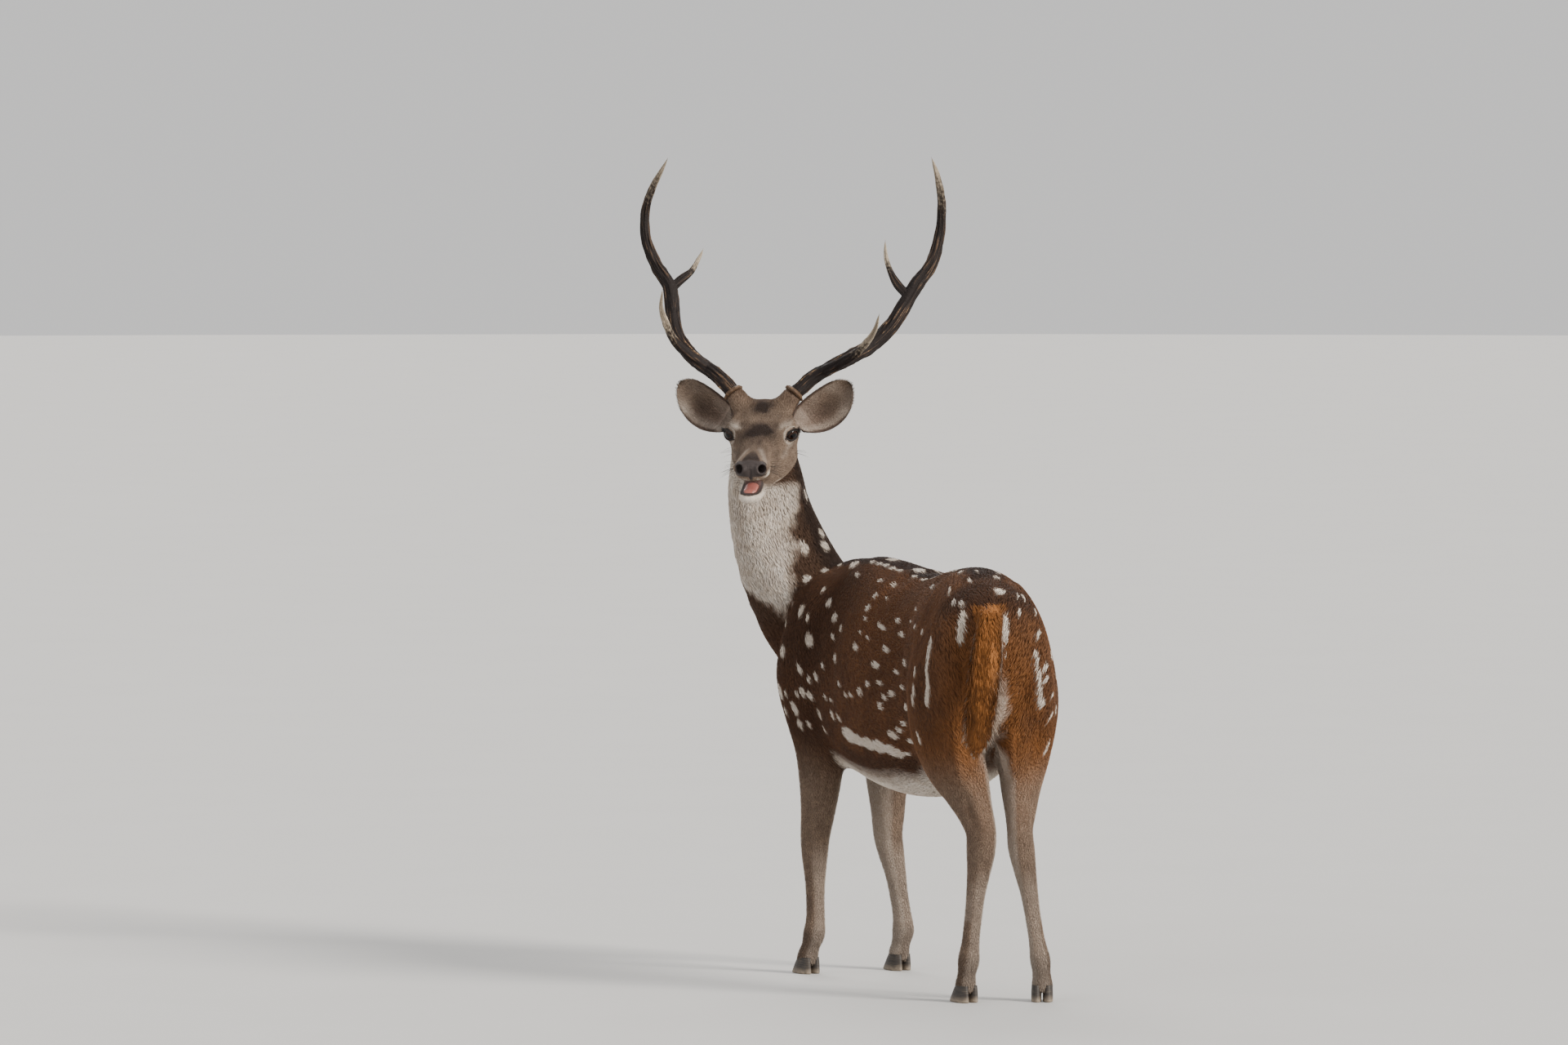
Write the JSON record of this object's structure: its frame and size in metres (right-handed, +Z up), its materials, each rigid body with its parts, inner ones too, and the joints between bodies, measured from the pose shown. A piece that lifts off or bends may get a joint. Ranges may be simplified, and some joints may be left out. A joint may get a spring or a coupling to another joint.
{
  "type": "chital stag model",
  "caption": "Life-size still model of a chital (spotted deer) stag, standing and looking back over its left side, with lyre-shaped antlers.",
  "frame": {"origin": "middle of the box round the model, at the level of the soles", "axes": "+Z up; the body faces -Y and the animal's left side is +X"},
  "size_m": [0.6374, 1.276, 1.6893],
  "materials": {
    "coat": "short dense coat, rufous brown with white spots and pale underside",
    "antler": "furrowed dark antler, worn pale at the tips",
    "eye": "wet and dark",
    "hoof": "smooth dark horn",
    "mouth": "moist"
  },
  "bodies": {
    "root": {"head": "coat", "neck": "coat", "torso": "coat", "tail": "coat", "foreleg_left": "coat", "foreleg_right": "coat", "hindleg_left": "coat", "hindleg_right": "coat", "ear_left": "coat", "ear_right": "coat", "eye_left": "eye", "eye_right": "eye", "tongue": "mouth", "antler_left_lower_beam": "antler", "antler_left_upper_beam": "antler", "antler_left_brow_tine": "antler", "antler_left_inner_tine": "antler", "antler_right_lower_beam": "antler", "antler_right_upper_beam": "antler", "antler_right_brow_tine": "antler", "antler_right_inner_tine": "antler", "hoof_fore_left_left_toe": "hoof", "hoof_fore_left_right_toe": "hoof", "hoof_fore_right_left_toe": "hoof", "hoof_fore_right_right_toe": "hoof", "hoof_hind_left_left_toe": "hoof", "hoof_hind_left_right_toe": "hoof", "hoof_hind_right_left_toe": "hoof", "hoof_hind_right_right_toe": "hoof"}
  },
  "joints": []
}
